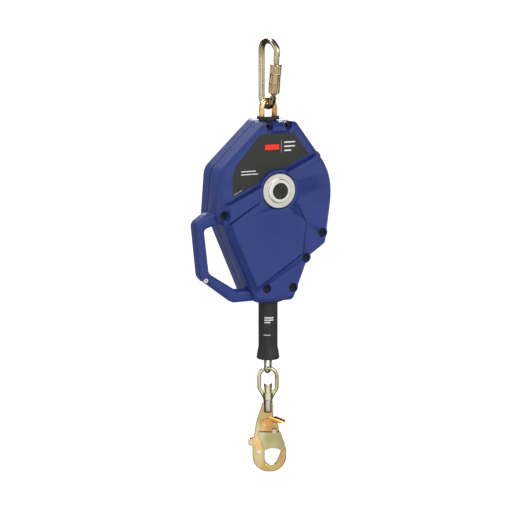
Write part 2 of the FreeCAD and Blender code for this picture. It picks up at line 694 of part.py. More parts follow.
def cable_and_bumper():
    """The cable leaves the drum's right side, turns down in the nozzle and ends in a loop."""
    bend, outer = CABLE_BEND_HEIGHT, OUTER_TURN
    leave = math.acos(outer / -bend)
    tangent = V(outer * math.sin(leave), -outer * math.cos(leave), 0)
    wrap = math.radians(200)
    begin = leave - math.pi / 2
    def on_drum(back):
        return V(outer * math.cos(begin + back), outer * math.sin(begin + back), 0)
    round_drum = Part.Arc(on_drum(wrap), on_drum(wrap / 2), on_drum(0))
    down = rounded([(tangent.x, tangent.y), (0, bend, 40), (0, BOTTOM - 3.2)], closed=False)
    owner = body("InnerCable")
    spine = sketch(owner)
    spine.addGeometry([round_drum] + down, False)
    doc.recompute()
    section = owner.newObject("Sketcher::SketchObject", "Section")
    section.AttachmentSupport = [(spine, "Edge1")]
    section.MapMode = "NormalToEdge"
    circle(section, "cable")
    doc.recompute()
    bar = owner.newObject("PartDesign::AdditivePipe", "Bar")
    bar.Profile = section
    bar.Spine = (spine, [f"Edge{i + 1}" for i in range(1 + len(down))])
    keep("inner_cable", owner, HUB)
    rod("outer_cable", [(0, FERRULE_TOP + 0.1), ("cable", HUB_Z + BOTTOM - 3.3)], LINE)
    top, low = BUMPER_TOP, BUMPER_TOP - size("bumper_length")
    turned("bumper_sleeve", [
        (2.8, top), ("bumper - 1.5", top), ("bumper", top - 1.5), ("bumper", low + 20),
        ("bumper + 1", low + 15), ("bumper + 2.9", low + 4), ("bumper + 2.9", low + 1), ("bumper + 1.9", low),
        (12.6, low), (11.9, low + 2), (11.9, top - 18), (2.8, top - 18)], LINE)
    turned("cable_stop", [(0, FERRULE_TOP - 14), (8, FERRULE_TOP - 14), (8, FERRULE_TOP + 6), (6.5, FERRULE_TOP + 9),
                          (2.45, FERRULE_TOP + 9), (2.45, FERRULE_TOP), (0, FERRULE_TOP)], LINE)
    block = cylinder("FerruleBlank", 8, 24, V(0, FERRULE_TOP - 38.2, 0), V(0, 1, 0))
    bores = [cylinder(f"FerruleBore{x}", "cable + 0.05", 60, V(x, FERRULE_TOP - 50, 0), V(0, 1, 0))
             for x in (-2.7, 2.7)]
    keep("loop_ferrule", cut("LoopFerrule", block, bores), upright(LOOP_YAW))
    turn = size("loop_bend")
    half = [(2.7, FERRULE_TOP - 15), (2.7, FERRULE_TOP - 43, 9), (turn, FERRULE_TOP - 58, 9)]
    route = half + [(turn, LOOP_LOW, turn - 0.01), (-turn, LOOP_LOW, turn - 0.01)]
    route += [(-x, *rest) for x, *rest in reversed(half)]
    keep("cable_loop", round_bar("CableLoop", route, "cable"), upright(LOOP_YAW))


# ---- snap hook ----------------------------------------------------------------------------
# The hook's frame: x across the hook, y up from the hanging point, z towards its front face.

HOOK = upright(HOOK_YAW)
COLLAR = (-574.4, -563.6)
GATE_PIVOT = (10.4, -626.5)
LOCK_PIVOT = (-6, -616)
LATCH_PIVOT = (-14.7, -661)
LATCH_PIN = (-28.4, -645.4)


def swivel_bow():
    bend = size("bow_bend")
    crown = LOOP_LOW + size("cable") + 0.9 + size("bow_bar")
    side = [(6, COLLAR[0] + 4), (bend, -556, 7)]
    path = side + [(bend, crown, bend - 0.01), (-bend, crown, bend - 0.01)]
    path += [(-x, *rest) for x, *rest in reversed(side)]
    link = round_bar("BowBar", path, "bow_bar")
    collar = cylinder("BowCollar", 8.6, COLLAR[1] - COLLAR[0], V(0, COLLAR[0], 0), V(0, 1, 0))
    bore = cylinder("BowBore", 3.7, 60, V(0, COLLAR[0] - 20, 0), V(0, 1, 0))
    inside = cylinder("BowInside", 7.1, 30, V(0, COLLAR[1], 0), V(0, 1, 0))
    keep("swivel_bow", cut("SwivelBow", join("BowBlank", [link, collar]), [bore, inside]), HOOK)


def hook_stud():
    rod("hook_stud", [(0, -593), (3.6, -551)], LINE)
    low, high = COLLAR[1] + 0.3, -547.8
    blank = cylinder("CastleBlank", 6.8, high - low, V(0, 0, low))
    tools = [cylinder("CastleBore", 3.62, 60, V(0, 0, low - 10))]
    for i in range(3):
        slot = box(f"CastleSlot{i}", (-9, -1.2, high - 7), (9, 1.2, high + 5))
        slot.Placement = FreeCAD.Placement(V(0, 0, 0), FreeCAD.Rotation(V(0, 0, 1), 60 * i)).multiply(slot.Placement)
        tools.append(slot)
    keep("castle_nut", cut("CastleNut", blank, tools))
    turned("hook_barrel", [(3.65, -596), (6, -596), (7.3, -594), (7.3, -576), (6.6, -574.8), (3.65, -574.8)], LINE)


def hook_body():
    thick = size("hook_plate")
    points = [
        (-8.5, -580, 2), (-19, -613, 30), (-25, -650, 60), (-25, -695.5, 26), (29.5, -695.5, 26),
        (29.5, -654.6, 3), (22.3, -654.6, 3), (19.5, -666, 10), (12, -684, 10), (-5.5, -684, 9),
        (-5.5, -642, 7), (0, -633.3, 4), (17.2, -633.3, 6.7), (17.2, -619.7, 6.7), (8.5, -604, 8), (8.5, -580, 2),
    ]
    forging = body("HookForging")
    pad(forging, outline(forging, points, "-hook_plate / 2"), "hook_plate")
    dress(forging, "Fillet", lambda e: abs(abs(e.CenterOfMass.z) - thick / 2) < 1e-4
          and e.BoundBox.ZLength < 1e-4, 1.6)
    bores = [cylinder("BarrelBore", 7.32, 60, V(0, -596.2, 0), V(0, 1, 0))]
    for i, (pivot, radius) in enumerate(((GATE_PIVOT, 2.3), (LOCK_PIVOT, 1.8), (LATCH_PIVOT, 2.3))):
        bores.append(cylinder(f"PivotBore{i}", radius, 40, V(*pivot, -20)))
    keep("hook_body", cut("HookBody", forging, bores), HOOK)


def both_faces(name, points, inner, thickness, extra=()):
    """Two equal plates that straddle the hook's body, with any pieces that join them."""
    back = plate(f"{name}_back", points, -inner - thickness, thickness)
    front = plate(f"{name}_front", points, inner, thickness)
    return join(f"{name}_blank", [back, front, *extra])


def hook_gate():
    cover = [(-16.6, -628.3, 1.5), (18.2, -628.3, 2), (27.6, -651, 3), (24.4, -661, 2.5), (15, -655.5, 14),
             (2, -655.5, 14), (-6.5, -659.6, 2.5), (-9, -647, 1.5)]
    web = body("GateWeb")
    strip = [(18.4, -630.5), (20, -630.5), (27.4, -651.5), (25.8, -651.5)]
    pad(web, outline(web, strip, -7.5), 15)
    blank = both_faces("GatePlates", cover, 6.6, 1.5, [web])
    hole = cylinder("GatePivotHole", 2.35, 40, V(*GATE_PIVOT, -20))
    keep("hook_gate", cut("HookGate", blank, [hole]), HOOK)


def lock_lever():
    cheek = [(-12.2, -611.5, 1.5), (-6, -607, 1.5), (2, -606, 1.5), (6.5, -612, 2), (8, -618.5, 3), (1.5, -627, 3),
             (-12.5, -627, 1.5)]
    lean = V(math.cos(math.radians(-23)), math.sin(math.radians(-23)), 0)
    foot = V(1, -605.2, 0)
    outside = cylinder("TabOutside", 6.1, 27, foot, lean)
    inside = cylinder("TabInside", 4.7, 40, foot + V(0, -0.6, 0) - lean * 5, lean)
    below = box("TabBelow", (-10, -640, -12), (50, -613.8, 12))
    behind = cylinder("TabClear", 7.6, 60, V(0, -600, 0), V(0, 1, 0))
    beside = [(-20, -580), (10.3, -580), (10.3, -602), (19, -618), (19, -640), (-20, -640)]
    inner = plate("TabInner", beside, -4.75, 9.5)
    tab = cut("LockTab", outside, [inside, behind, below, inner])
    blank = both_faces("LockCheeks", cheek, 4.8, 1.4)
    cheeks_and_tab = join("LockBlank", [blank, tab])
    hole = cylinder("LockPivotHole", 1.85, 40, V(*LOCK_PIVOT, -20))
    keep("lock_lever", cut("LockLever", cheeks_and_tab, [hole]), HOOK)


def latch():
    lever = [(-29.5, -640.5, 1.5), (-21, -639, 1.5), (-11.5, -646.5, 2), (-8.5, -657, 2), (-10, -666.5, 3),
             (-18, -667.5, 3), (-22.5, -654, 4), (-32.6, -649, 2)]
    web = plate("LatchWeb", [(-32.2, -647.6), (-31, -647.6), (-29.4, -642.2), (-30.6, -642.2)], -5, 10)
    blank = both_faces("LatchPlates", lever, 4.8, 1.4, [web])
    hole = cylinder("LatchPivotHole", 2.35, 40, V(*LATCH_PIVOT, -20))
    pin_hole = cylinder("LatchPinHole", 1.65, 40, V(*LATCH_PIN, -20))
    keep("release_latch", cut("ReleaseLatch", blank, [hole, pin_hole]), HOOK)
    at = HOOK.multiply(FreeCAD.Placement(V(*LATCH_PIN, 0), FreeCAD.Rotation()))
    rod("latch_pin", [(0, -7.6), (3.4, -6.3), (1.6, 6.3), (3.4, 7.6)], at)


def hook_rivets():
    for node, pivot, radius, head, reach, thick in (
            ("gate_rivet", GATE_PIVOT, 2.25, 3.6, 8.3, 1.3), ("lock_rivet", LOCK_PIVOT, 1.75, 2.6, 6.3, 0.2),
            ("latch_rivet", LATCH_PIVOT, 2.25, 3.8, 6.4, 1.2)):
        at = HOOK.multiply(FreeCAD.Placement(V(*pivot, 0), FreeCAD.Rotation()))
        rod(node, [(0, -reach - thick), (head, -reach), (radius, reach), (head, reach + thick)], at)


# ---- build, check and write ---------------------------------------------------------------

def build():
    for make in (front_housing, rear_housing, label_plate, housing_fasteners, outlet, inner_frame,
                 shaft_and_hub, drum, power_spring, brake, pawls, anchor_swivel, carabiner,
                 cable_and_bumper, swivel_bow, hook_stud, hook_body, hook_gate, lock_lever, latch,
                 hook_rivets):
        make()
    doc.recompute()


def check():
    failed = [f"{o.Name} ({o.Label})" for o in doc.Objects if {"Invalid", "Error"} & set(o.State)]
    for node, thing in NODES.items():
        shape = thing.Shape
        if shape.isNull() or not shape.isValid() or not shape.Solids:
            failed.append(f"{node}: its shape is empty or not valid")
    if failed:
        raise ValueError("; ".join(failed))


def write():
    os.makedirs("parts", exist_ok=True)
    for node, thing in NODES.items():
        thing.Shape.exportStep(f"parts/{node}.step")
        print(f"{node}: {len(thing.Shape.Solids)} solids, {thing.Shape.Volume / 1000:.2f} cm3")


build()
check()
write()
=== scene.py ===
"""Self retracting lifeline: finishes, fine pieces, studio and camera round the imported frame.

Metres, +Z up, the labelled front faces -Y. The origin is the hanging point, the inside of
the carabiner's crown, and everything else hangs below it on the line X = 0, Y = 0.
"""
import math

import bmesh
import bpy
import numpy as np
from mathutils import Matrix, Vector


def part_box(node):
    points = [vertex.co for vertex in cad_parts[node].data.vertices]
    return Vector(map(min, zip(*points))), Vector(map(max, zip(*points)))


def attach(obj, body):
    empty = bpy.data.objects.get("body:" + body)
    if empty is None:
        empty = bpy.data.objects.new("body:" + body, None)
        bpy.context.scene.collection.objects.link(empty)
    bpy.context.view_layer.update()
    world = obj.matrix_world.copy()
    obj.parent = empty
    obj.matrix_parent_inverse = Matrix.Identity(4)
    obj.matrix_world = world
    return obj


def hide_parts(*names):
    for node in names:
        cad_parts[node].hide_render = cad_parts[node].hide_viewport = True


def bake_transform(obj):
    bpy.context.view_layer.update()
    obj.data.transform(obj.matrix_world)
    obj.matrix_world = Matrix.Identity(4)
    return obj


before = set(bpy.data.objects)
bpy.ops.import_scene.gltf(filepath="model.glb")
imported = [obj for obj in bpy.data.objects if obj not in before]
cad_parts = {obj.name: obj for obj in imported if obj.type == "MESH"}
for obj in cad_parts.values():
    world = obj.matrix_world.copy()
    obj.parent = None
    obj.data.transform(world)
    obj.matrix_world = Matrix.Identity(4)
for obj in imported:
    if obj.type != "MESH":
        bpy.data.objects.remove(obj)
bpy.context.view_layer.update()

MM = 0.001
HUB_Z = -228 * MM


# ---- shader maths -------------------------------------------------------------------------

class Wire:
    """The output of a node. Arithmetic on it adds Math nodes to the same node tree."""

    def __init__(self, graph, socket):
        self.graph = graph
        self.socket = socket

    def math(self, operation, *values):
        return self.graph.node("Math", {"operation": operation}, dict(enumerate(values)))

    def __add__(self, other):
        return self.math("ADD", self, other)

    def __radd__(self, other):
        return self.math("ADD", other, self)

    def __sub__(self, other):
        return self.math("SUBTRACT", self, other)

    def __rsub__(self, other):
        return self.math("SUBTRACT", other, self)

    def __mul__(self, other):
        return self.math("MULTIPLY", self, other)

    def __rmul__(self, other):
        return self.math("MULTIPLY", other, self)

    def __lt__(self, other):
        return self.math("LESS_THAN", self, other)

    def __gt__(self, other):
        return self.math("GREATER_THAN", self, other)

    def __abs__(self):
        return self.math("ABSOLUTE", self)

    def root(self):
        return self.math("SQRT", self)


class Graph:
    """A node tree, built node by node."""

    def __init__(self, tree):
        self.tree = tree

    def node(self, kind, settings=None, inputs=None, output=0):
        """Any node, by its type, its settings or a ramp's stops, and what feeds its sockets."""
        made = self.tree.nodes.new(f"ShaderNode{kind}")
        for key, value in (settings or {}).items():
            if key == "stops":
                ramp = made.color_ramp.elements
                while len(ramp) < len(value):
                    ramp.new(1)
                for element, (at, color) in zip(ramp, value):
                    element.position = at
                    element.color = (*color, 1)
            else:
                setattr(made, key, value)
        for key, value in (inputs or {}).items():
            self.feed(made.inputs[key], value)
        return Wire(self, made.outputs[output])

    def feed(self, socket, value):
        if isinstance(value, Wire):
            self.tree.links.new(value.socket, socket)
        else:
            socket.default_value = value


class Finish(Graph):
    """A procedural material on Object coordinates.

    Constants go straight onto the shader's sockets.
    """

    def __init__(self, name, **constants):
        self.material = bpy.data.materials.new(name)
        self.material.use_nodes = True
        super().__init__(self.material.node_tree)
        self.shader = self.tree.nodes["Principled BSDF"]
        self.put(**constants)
        self.where = self.node("TexCoord", output="Object")
        split = self.node("SeparateXYZ", inputs={0: self.where}).socket.node
        self.x, self.y, self.z = (Wire(self, socket) for socket in split.outputs)

    def put(self, **sockets):
        """Feeds the shader's sockets, named with _ for a space."""
        for name, value in sockets.items():
            if isinstance(value, tuple) and len(value) == 3:
                value = (*value, 1)
            self.feed(self.shader.inputs[name.replace("_", " ")], value)

    def noise(self, scale, detail=4, roughness=0.55, stretch=None):
        """Noise from 0 to 1 whose grain is about 1/scale metres; stretch multiplies it per axis."""
        where = self.where
        if stretch:
            where = self.node("VectorMath", {"operation": "MULTIPLY"}, {0: where, 1: stretch})
        return self.node("TexNoise", inputs={
            "Vector": where, "Scale": scale, "Detail": detail, "Roughness": roughness})

    def between(self, value, low, high):
        """0 below low and 1 above high, with a soft step between."""
        return self.node("MapRange", {"interpolation_type": "SMOOTHSTEP"}, {
            "Value": value, "From Min": low, "From Max": high})

    def span(self, value, low, high):
        """The middle half of a noise, 0.25 to 0.75, spread over low to high and held beyond."""
        return self.node("MapRange", inputs={
            "Value": value, "From Min": 0.25, "From Max": 0.75, "To Min": low, "To Max": high})

    def mix(self, factor, first, second):
        """The colour first where the factor is 0 and second where it is 1."""
        first, second = (c if isinstance(c, Wire) else (*c, 1) for c in (first, second))
        return self.node("Mix", {"data_type": "RGBA"}, {0: factor, 6: first, 7: second}, output=2)

    def bump(self, height, depth):
        """Relief of a given depth, in metres, on the shader's normal."""
        self.put(Normal=self.node("Bump", inputs={
            "Strength": 1.0, "Distance": depth, "Height": height}))

    def patch(self, across, up, centre, half):
        """1 inside a rectangle of two coordinates, in millimetres, with crisp edges."""
        inside = abs(across - centre[0] * MM) < half[0] * MM
        return inside * (abs(up - centre[1] * MM) < half[1] * MM)


# ---- finishes -----------------------------------------------------------------------------

def moulded_plastic(name, deep, light, roughness=0.45, grain=0.03):
    """Moulded polymer: a fine spark-eroded grain, slow colour drift, and faint handling scuffs."""
    f = Finish(name, Specular_IOR_Level=0.3)
    drift = f.noise(9, detail=3)
    cloud = f.noise(55, detail=5)
    grit = f.noise(1500, detail=2)
    scuff = f.between(f.noise(95, detail=8, roughness=0.7, stretch=(1, 1, 0.2)), 0.64, 0.74)
    tone = f.span(drift * 0.6 + cloud * 0.4, 0.0, 1.0)
    paler = tuple(min(1, c * 1.5 + 0.015) for c in light)
    base = f.mix(tone, deep, light)
    f.put(Base_Color=f.mix(scuff * 0.18, base, paler))
    f.put(Roughness=f.span(cloud, roughness - 0.07, roughness + 0.06) + scuff * 0.1 + grit * 0.04)
    f.bump(grit + f.noise(420, detail=3) * 0.5, grain * MM)
    return f


def plated_zinc(name, shade, middle, glow, roughness=0.3, relief=0.012):
    """Passivated zinc plate: colour drifting from shade to glow, cloudy gloss and dimples."""
    f = Finish(name, Metallic=1.0)
    drift = f.noise(38, detail=4)
    fine = f.noise(310, detail=5, roughness=0.6)
    cast = f.noise(22, detail=2, stretch=(1.3, 1, 0.7))
    colour = f.mix(f.span(drift * 0.7 + fine * 0.3, 0, 1), shade, middle)
    f.put(Base_Color=f.mix(f.between(cast, 0.46, 0.66) * 0.75, colour, glow))
    spots = f.between(f.noise(700, detail=3), 0.66, 0.76)
    f.put(Roughness=f.span(fine, roughness - 0.08, roughness + 0.1) + spots * 0.15)
    f.bump(fine + f.noise(1100, detail=2) * 0.4, relief * MM)
    return f


def turned_steel(name, colour, roughness=0.27, about=(0, HUB_Z)):
    """Steel faced on a lathe: fine rings round an axis along Y, and a soft haze."""
    f = Finish(name, Metallic=1.0)
    aside = f.x - about[0]
    off = f.z - about[1]
    radius = (aside * aside + off * off).root()
    rings = f.node("TexNoise", {"noise_dimensions": "1D"}, {
        "W": radius * 5200, "Scale": 1.0, "Detail": 3})
    haze = f.noise(70, detail=4)
    darker = tuple(c * 0.78 for c in colour)
    f.put(Base_Color=f.mix(f.span(rings * 0.5 + haze * 0.5, 0, 1), darker, colour))
    f.put(Roughness=f.span(rings, roughness - 0.06, roughness + 0.1) + haze * 0.06)
    f.bump(rings, 0.01 * MM)
    return f


def stranded_wire(name, shade, glow):
    """Galvanised wire: small wires laid across each strand, with grey bloom."""
    f = Finish(name, Metallic=1.0)
    bloom = f.noise(260, detail=4)
    wires = f.noise(2600, detail=1, stretch=(1, 1, 0.25))
    f.put(Base_Color=f.mix(f.span(bloom, 0, 1), shade, glow))
    f.put(Roughness=f.span(bloom, 0.28, 0.46))
    f.bump(wires, 0.05 * MM)
    return f


# The bumper's print faces PRINT_TURN from -Y. Its lines have a common left end, and each a height
# and half length in mm. The low line has its middle and half size.
PRINT_TURN = math.radians(25)
PRINT_FRONT = 4 * MM
BUMPER_LEFT, BUMPER_THICK = -5.7, 1.0
BUMPER_LINES = ((-437.6, 7.2), (-441.4, 7.2), (-445.2, 4.6))
LOW_LINE = (-1.6, -466.0), (5.6, 0.7)


def bumper_print(f):
    """Three short pale lines and a fainter fourth, on the side of the bumper turned 25 degrees."""
    across = f.x * math.cos(PRINT_TURN) - f.y * math.sin(PRINT_TURN)
    toward = f.x * -math.sin(PRINT_TURN) - f.y * math.cos(PRINT_TURN)
    mask = f.patch(across, f.z, *LOW_LINE) * 0.7
    for up, half in BUMPER_LINES:
        mask = mask + f.patch(across, f.z, (half + BUMPER_LEFT, up), (half, BUMPER_THICK))
    wear = f.span(f.noise(900, detail=4), 0.75, 1.0)
    return mask * (toward > PRINT_FRONT) * wear


def matte_rubber(name, deep, light, marks=False):
    """Matte rubber or paint: slight bloom and fine pores, and the bumper's print if marks is set."""
    f = Finish(name, Specular_IOR_Level=0.3)
    bloom = f.noise(60, detail=5)
    pores = f.noise(1300, detail=3)
    colour = f.mix(f.span(bloom, 0, 1), deep, light)
    if marks:
        colour = f.mix(bumper_print(f), colour, (0.62, 0.62, 0.6))
    f.put(Base_Color=colour)
    f.put(Roughness=f.span(pores, 0.42, 0.6))
    f.bump(pores + bloom, 0.02 * MM)
    return f


# Middle and half size of each printed mark, in mm, across and above the hub's middle.
LABEL_BAR = (-9.0, 69.0), (12.0, 4.0)
LABEL_DIVIDER = (7.0, 69.0), (0.45, 9.5)
SLANTED_LINE = (-68.0, 31.8), (7.0, 0.5)
# The slanted line's rise for each mm across.
SLANT = 0.46
# Left end, height, half length and half thickness of each level line, in mm.
LABEL_LINES = (
    (12, 75.5, 9.5, 1.1), (12, 69.0, 9.5, 1.1), (12, 62.5, 6.0, 1.1),
    (-62.5, 33.0, 12.5, 0.75), (-62.5, 28.2, 14.5, 0.75),
)


def printed_label(name):
    """Charcoal film with a plain red bar, a divider and a few thin pale lines."""
    f = Finish(name, Specular_IOR_Level=0.25)
    up = f.z - HUB_Z
    mottle = f.noise(420, detail=5)
    drift = f.noise(12, detail=2)
    film = f.span(mottle * 0.4 + drift * 0.6, 0, 1)
    colour = f.mix(film, (0.014, 0.0145, 0.011), (0.026, 0.027, 0.021))
    colour = f.mix(f.patch(f.x, up, *LABEL_BAR), colour, (0.75, 0.02, 0.014))
    colour = f.mix(f.patch(f.x, up, *LABEL_DIVIDER) * 0.7, colour, (0.3, 0.31, 0.31))
    pale = f.patch(f.x, up - f.x * SLANT, *SLANTED_LINE) * 0.7
    for left, row, half, thick in LABEL_LINES:
        pale = pale + f.patch(f.x, up, (left + half, row), (half, thick))
    broken = f.between(f.noise(520, detail=1, stretch=(1, 1, 0.02)), 0.36, 0.42)
    colour = f.mix(pale * f.span(broken, 0.55, 0.9), colour, (0.6, 0.61, 0.6))
    f.put(Base_Color=colour)
    f.put(Roughness=f.span(mottle, 0.34, 0.46))
    f.bump(mottle, 0.012 * MM)
    return f


HANDLE_RIVET = -118 * MM, HUB_Z - 138 * MM

blue = moulded_plastic("blue_polymer", (0.009, 0.02, 0.118), (0.016, 0.033, 0.168), 0.46)
black_polymer = moulded_plastic(
    "black_polymer", (0.008, 0.008, 0.01), (0.016, 0.016, 0.019), 0.4, 0.02)
label = printed_label("label_film")
rubber = matte_rubber("bumper_rubber", (0.009, 0.009, 0.01), (0.018, 0.018, 0.02), marks=True)
screw_black = matte_rubber("blackened_steel", (0.006, 0.006, 0.009), (0.014, 0.014, 0.02))
lining = matte_rubber("friction_lining", (0.05, 0.04, 0.03), (0.11, 0.09, 0.07))
satin = turned_steel("satin_steel", (0.78, 0.76, 0.7))
bright = turned_steel("bright_steel", (0.92, 0.9, 0.84), 0.2)
knurled = matte_rubber("knurled_cap", (0.007, 0.007, 0.006), (0.018, 0.018, 0.014))
rivet_ring = turned_steel("handle_rivet_steel", (0.75, 0.75, 0.76), 0.22, HANDLE_RIVET)
pressed = plated_zinc(
    "pressed_steel", (0.3, 0.3, 0.31), (0.42, 0.42, 0.43), (0.55, 0.55, 0.54), 0.35)
aluminium = turned_steel("turned_aluminium", (0.7, 0.7, 0.71), 0.32)
strip = plated_zinc(
    "spring_strip", (0.16, 0.18, 0.22), (0.26, 0.27, 0.3), (0.34, 0.34, 0.34), 0.32)
brass = plated_zinc(
    "bronze_and_brass", (0.4, 0.24, 0.09), (0.55, 0.38, 0.16), (0.66, 0.5, 0.24), 0.3)
olive = plated_zinc(
    "carabiner_zinc", (0.2, 0.155, 0.075), (0.4, 0.34, 0.18), (0.6, 0.56, 0.38), 0.17)
tan = plated_zinc("sleeve_zinc", (0.34, 0.24, 0.13), (0.56, 0.43, 0.25), (0.74, 0.62, 0.42), 0.2)
orange = plated_zinc("eye_zinc", (0.42, 0.2, 0.05), (0.68, 0.42, 0.12), (0.8, 0.62, 0.3), 0.22)
pale_gold = plated_zinc("bow_zinc", (0.3, 0.25, 0.13), (0.56, 0.5, 0.27), (0.7, 0.66, 0.44), 0.18)
barrel_zinc = plated_zinc(
    "barrel_zinc", (0.2, 0.15, 0.09), (0.42, 0.37, 0.26), (0.6, 0.57, 0.47), 0.2)
forged = plated_zinc(
    "forged_hook_zinc", (0.4, 0.27, 0.1), (0.6, 0.44, 0.18), (0.7, 0.58, 0.33), 0.3, 0.03)
olive_plate = plated_zinc(
    "gate_zinc", (0.28, 0.24, 0.11), (0.5, 0.45, 0.22), (0.64, 0.6, 0.36), 0.24)
copper = plated_zinc("lever_zinc", (0.45, 0.2, 0.06), (0.7, 0.38, 0.13), (0.82, 0.56, 0.26), 0.22)
silver = plated_zinc("rivet_zinc", (0.4, 0.36, 0.27), (0.6, 0.56, 0.45), (0.72, 0.7, 0.62), 0.28)
galvanised = stranded_wire("galvanised_wire", (0.2, 0.2, 0.21), (0.52, 0.52, 0.53))

FINISHES = {
    blue: ("front_housing", "rear_housing"),
    black_polymer: ("outlet_flange", "swivel_stud", "anchor_bush"),
    label: ("label_plate",),
    rubber: ("bumper_sleeve",),
    screw_black: ("housing_bolts",),
    lining: ("brake_lining",),
    satin: ("hub_washer", "main_shaft", "rear_shaft_nut"),
    bright: ("hub_ring",),
    knurled: ("hub_cap",),
    rivet_ring: ("handle_rivet",),
    pressed: ("front_frame_plate", "rear_frame_plate", "anchor_block", "anchor_stud_nut",
              "spring_arbor", "spring_cup", "pressure_washer", "ratchet_ring", "upper_pawl",
              "lower_pawl", "pawl_pins"),
    aluminium: ("cable_drum",),
    strip: ("power_spring",),
    brass: ("threaded_inserts", "cable_bush", "front_drum_bush", "rear_drum_bush"),
    olive: ("carabiner_frame", "carabiner_gate", "carabiner_gate_pin"),
    tan: ("carabiner_sleeve",),
    orange: ("anchor_eye",),
    pale_gold: ("swivel_bow", "castle_nut", "hook_stud"),
    barrel_zinc: ("hook_barrel",),
    forged: ("hook_body",),
    olive_plate: ("hook_gate",),
    copper: ("lock_lever", "release_latch"),
    silver: ("gate_rivet", "lock_rivet", "latch_rivet", "latch_pin"),
    galvanised: ("inner_cable", "outer_cable", "wound_cable", "cable_loop", "loop_ferrule",
                 "cable_stop"),
}
for finish, nodes in FINISHES.items():
    for node in nodes:
        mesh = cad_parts[node].data
        mesh.materials.clear()
        mesh.materials.append(finish.material)


# ---- new pieces ---------------------------------------------------------------------------

def added(name, data):
    """A new object in the scene."""
    made = bpy.data.objects.new(name, data)
    bpy.context.scene.collection.objects.link(made)
    return made


def stitched(mesh, join=0.0, outward=True):
    """Joins the points that are nearer than join and turns the faces outwards."""
    edit = bmesh.new()
    edit.from_mesh(mesh)
    if join:
        bmesh.ops.remove_doubles(edit, verts=edit.verts, dist=join)
    if outward:
        bmesh.ops.recalc_face_normals(edit, faces=edit.faces)
    edit.to_mesh(mesh)
    edit.free()


def coated(mesh, finish, sharp):
    """Smooth shading that breaks at edges of more than sharp degrees, in one finish."""
    mesh.polygons.foreach_set("use_smooth", np.ones(len(mesh.polygons), bool))
    mesh.set_sharp_from_angle(angle=math.radians(sharp))
    mesh.materials.clear()
    mesh.materials.append(finish.material)


def piece(name, points, faces, finish, body, node):
    """A finished mesh that rides on a body, if one is given, and stands for one CAD node."""
    mesh = bpy.data.meshes.new(name)
    mesh.from_pydata(points.reshape(-1, 3).tolist(), [], faces.reshape(-1, 4).tolist())
    mesh.update()
    stitched(mesh, join=2e-6)
    coated(mesh, finish, 38)
    made = added(name, mesh)
    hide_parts(node)
    if body:
        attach(made, body)
    return made


def quads(rows, columns, wrap_rows=False):
    """The four-sided faces of a grid of points whose columns go round, and its rows if wrapped."""
    index = np.arange(rows * columns).reshape(rows, columns)
    if wrap_rows:
        index = np.vstack([index, index[:1]])
    index = np.hstack([index, index[:, :1]])
    return np.stack([index[:-1, :-1], index[:-1, 1:], index[1:, 1:], index[1:, :-1]], axis=-1)


def lathe(profile, centre, axis, around, relief):
    """A profile of (radius, height) turned round an axis.

    point = centre + axis * (height + relief_h) + (radius + relief_r) * (u cos a + v sin a), where
    relief(a, radius, height) gives the two reliefs.
    """
    axis = np.array(axis, float) / np.linalg.norm(axis)
    u = np.cross(axis, (0.0, 0.0, 1.0) if abs(axis[2]) < 0.9 else (1.0, 0.0, 0.0))
    u /= np.linalg.norm(u)
    v = np.cross(axis, u)
    angle = np.linspace(0, 2 * np.pi, around, endpoint=False)[None, :]
    radius, height = (np.array(column)[:, None] for column in zip(*profile))
    more_radius, more_height = relief(angle, radius, height)
    radius = np.broadcast_to(radius + more_radius, (len(profile), around))
    height = np.broadcast_to(height + more_height, radius.shape)
    spokes = np.cos(angle)[..., None] * u + np.sin(angle)[..., None] * v
    return (np.array(centre) + height[..., None] * axis + radius[..., None] * spokes) * MM


def soft_step(value, low, high):
    """0 below low and 1 above high, with a smooth rise t*t*(3 - 2t) between."""
    t = np.clip((value - low) / (high - low), 0, 1)
    return t * t * (3 - 2 * t)


def plateau(value, rise, full, fall, end):
    """1 from full to fall and 0 outside rise to end, with soft steps between."""
    return soft_step(value, rise, full) * (1 - soft_step(value, fall, end))


def dense(profile, pitch):
    """The profile with points added so that none of its runs is longer than pitch."""
    made = []
    for (r0, h0), (r1, h1) in zip(profile, profile[1:]):
        steps = max(1, math.ceil(math.hypot(r1 - r0, h1 - h0) / pitch))
        made += [(r0 + (r1 - r0) * i / steps, h0 + (h1 - h0) * i / steps) for i in range(steps)]
    return made + [profile[-1]]


# The foot of the carabiner's gate and the way it leans, in mm.
GATE_FOOT = (3.145, -12.614, -86.0)
GATE_AXIS = (0.03074, -0.12329, 0.99189)


def fluted_sleeve():
    """The locking sleeve: flutes sink its outside by 0.95 sin(8a)^2 near both ends.

    The waist between them sinks by 0.35.
    """
    low, high, outer, shoulder, bore, around = 9.0, 57.0, 9.2, 7.6, 4.9, 192
    profile = dense([
        (bore, low), (shoulder, low), (outer - 0.3, low + 1.2), (outer, low + 1.8),
        (outer, high - 1.8), (outer - 0.3, high - 1.2), (shoulder, high), (bore, high)], 0.8)

    def flutes(angle, radius, height):
        bands = plateau(height, 10.6, 11.4, 24.4, 25.4) + plateau(height, 40.6, 41.6, 54.6, 55.4)
        waist = plateau(height, 25.6, 26.4, 39.6, 40.4)
        sink = 0.95 * np.sin(8 * angle) ** 2 * bands + 0.35 * waist
        return np.where(radius > outer - 0.1, -sink, 0.0), 0.0

    points = lathe(profile, GATE_FOOT, GATE_AXIS, around, flutes)
    faces = quads(len(profile), around, wrap_rows=True)
    piece("locking_sleeve", points, faces, tan, "locking_sleeve", "carabiner_sleeve")


